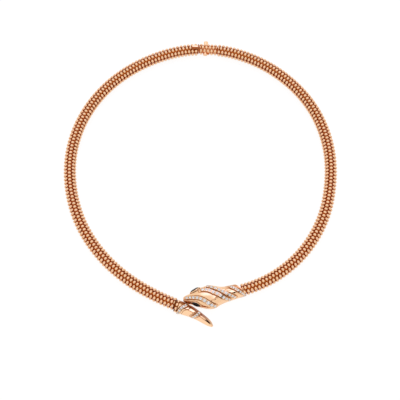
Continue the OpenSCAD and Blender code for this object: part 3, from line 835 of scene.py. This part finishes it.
for name, front_place, back_place in EYES:
    front, back = [head_skin(*np.array(place, float)) for place in (front_place, back_place)]
    s, b = (np.array(front_place) + np.array(back_place)) / 2
    along = unit(back - front)
    out = outward(HEAD_SURFACE, s, b)
    out = unit(out - (out @ along) * along)
    axes = np.stack([along, np.cross(out, along), out])
    foot = head_skin(s, b)
    girdle = EYE_SEAT + 0.45 * EYE_H
    cuts = ((0.45, EYE_SEAT), (1.0, girdle - 0.03), (1.0, girdle + 0.02),
            (0.83, EYE_SEAT + 0.8 * EYE_H), (0.62, EYE_SEAT + EYE_H))
    stone = Casting()
    stone.loft(np.array([foot + eye_outline(scale, height, EYE_ROUND) @ axes for scale, height in cuts]))
    stone.piece("eye_stone_" + name, black_stone, "necklace", "black_stone", ["eye_" + name], flat=True)
    grow = 1 + 2 * CLEAR / EYE_W + EYE_RIM_LARGER
    wide = grow + EYE_RIM_W / EYE_W
    high = EYE_SEAT + EYE_H / 3
    section = ((grow, -0.1), (wide + 0.1, -0.1), (wide, high - 0.12), (wide - 0.05, high - 0.02),
               ((wide + grow) / 2, high), (grow - 0.03, high - 0.02), (grow - 0.01, high - 0.1))
    loops = [foot + eye_outline(scale, height, EYE_RIM_ROUND) @ axes for scale, height in section]
    rings = np.array(loops).transpose(1, 0, 2)
    rim = Casting()
    # Painted shade: the rim is lightest on top and darker at its feet and down its inner wall.
    rim.loft(np.concatenate([rings, rings[:1]]),
             np.tile([0.2, 0.5, 0.9, 1, 1, 1, 0.3], EYE_RIM_ROUND + 1), caps=False)
    rim.piece("eye_band_" + name, setting_gold, "necklace", "rose_gold", ["eye_rim_" + name], crease=45)


# A short gold pin, hidden between the two castings, holds the head's jaw to the tail's collar.
# It is a plain rod, so the solid of it is used as it is.
def gild(node, material):
    """Gives one of the part's own solids its gold."""
    node.data.materials.clear()
    node.data.materials.append(material)


gild(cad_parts["joining_pin"], gold_finish("pin_gold", 0.15, (0.8, 0.45, 0.2)))

# The clasp is a short tube with the rope's knobs on it. A tongue on the left length slides into it.
# Two round push buttons stand out of its sides, and a polished plate covers the joint on top.
CASE_D, CASE_KNOB, CASE_MARGIN = 5.8, (0.75, 0.8, 0.92), 0.3
BUTTON_D, BUTTON_X, BUTTON_ROOM = 2.3, -1.4, 0.35
CLASP_ROUND = 48
# TUBE_END gives each end ring's place along, radius and unshaded share: the tube under the knobs is painted
# in shade, darkest at its ends.
TUBE_END = ((0, 1.9, 0.1), (0, 2.1, 0.3), (0.15, 2.1, 0.3), (0.25, 2.0, 0.42))
clasp_middle = loop_at(CLASP_TURN)
clasp_tilt = math.radians(CLASP_TURN - 90)
clasp_axes = np.array([[math.cos(clasp_tilt), math.sin(clasp_tilt), 0],
                       [-math.sin(clasp_tilt), math.cos(clasp_tilt), 0], [0, 0, 1]])


def clasp_place(points):
    return clasp_middle + np.asarray(points, float) @ clasp_axes


def case_line(s):
    """The case's middle line, as knob_rows needs it, from the end beside the right length."""
    p = clasp_place(np.stack([CASE_LEN / 2 - s, 0 * s, 0 * s], -1))
    return p, np.broadcast_to(-clasp_axes[0], p.shape), np.broadcast_to(clasp_axes[1], p.shape)


def near_button(s, turn):
    return abs(math.sin(turn)) < 0.5 and abs((CASE_LEN / 2 - s) - BUTTON_X) < BUTTON_D / 2 + BUTTON_ROOM


case = Casting()
knob_rows(case, case_line, CASE_LEN, near_button, CASE_KNOB, CASE_D / 2, CASE_MARGIN)
tube = [(x - CASE_LEN / 2, r, shade) for x, r, shade in TUBE_END]
tube += [(CASE_LEN / 2 - x, r, shade) for x, r, shade in TUBE_END[::-1]]
case.loft(np.array([clasp_place([(x, r * math.cos(a), r * math.sin(a)) for a in full_circle(CLASP_ROUND)])
                    for x, r, shade in tube]),
          np.repeat([shade for x, r, shade in tube], CLASP_ROUND))
case.piece("clasp_tube", rope_gold, "necklace", "rose_gold", ["clasp_case"], crease=45)

clasp_gold = gold_finish("clasp_gold", 0.03, (0.4, 0.12, 0.04), scratches=0.03)
# The tongue's solid has no unshaded attribute, so it is painted all over in clasp_gold's shade colour.
gild(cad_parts["clasp_tongue"], clasp_gold)

PLATE_LEN, PLATE_W, PLATE_H, PLATE_Y, PLATE_GAP = 3.1, 2.1, 0.7, -0.7, 0.15
PLATE_ENDS = ((0, 0.12), (0.04, 0.03), (0.12, 0), (0.16, 0))
plate_turns = np.linspace(180, 0, 25)
plate_steps = list(PLATE_ENDS) + [(PLATE_LEN - x, shrink) for x, shrink in PLATE_ENDS[::-1]]
rings = [clasp_place([(x - CASE_LEN / 2 - SHOULDER_LEN - PLATE_LEN,
                       PLATE_Y + (PLATE_W / 2 - shrink) * math.cos(a),
                       ROPE_R + PLATE_GAP + (PLATE_H - shrink) * math.sin(a))
                      for a in np.radians(plate_turns)]) for x, shrink in plate_steps]
plate = Casting()
# Painted shade: the plate is painted dark over its front half and along its back edge, and light only along
# its top.
plate.loft(np.array(rings),
           np.tile((1 - 0.95 * ease(plate_turns, 85, 125)) * ease(plate_turns, 15, 50), len(rings)))
plate.piece("clasp_cover", clasp_gold, "necklace", "rose_gold", ["clasp_plate"], crease=35)

# The buttons' feet lie in the tongue's slot, which is narrower than the case by SLOT_LESS.
SLOT_LESS, FOOT_T = 1.9, 0.35
BUTTON_R = BUTTON_D / 2
# The inner button is painted a little darker than the outer one, as painted shade.
for name, way, proud, button_unshaded in (("outer", 1, 1.55, 1.0), ("inner", -1, 0.45, 0.8)):
    foot = (CASE_D - SLOT_LESS) / 2 - CLEAR - FOOT_T / 2
    top = CASE_D / 2 + proud
    turned = [(foot, 0.0), (foot, BUTTON_R), (foot + 0.05, BUTTON_R), (top - 0.2, BUTTON_R),
              (top - 0.16, BUTTON_R), (top - 0.05, BUTTON_R - 0.04), (top - 0.01, BUTTON_R - 0.12),
              (top - 0.04, BUTTON_R - 0.3), (top - 0.02, BUTTON_R / 2), (top, 0.02)]
    rings = np.array([clasp_place([(BUTTON_X + r * math.cos(a), way * y, way * r * math.sin(a))
                                   for a in full_circle(CLASP_ROUND)]) for y, r in turned])
    button = Casting()
    button.loft(rings[:, ::-1], button_unshaded)
    button.piece("push_button_" + name, clasp_gold, "%s_button" % name, "rose_gold", ["button_" + name],
                 crease=40)
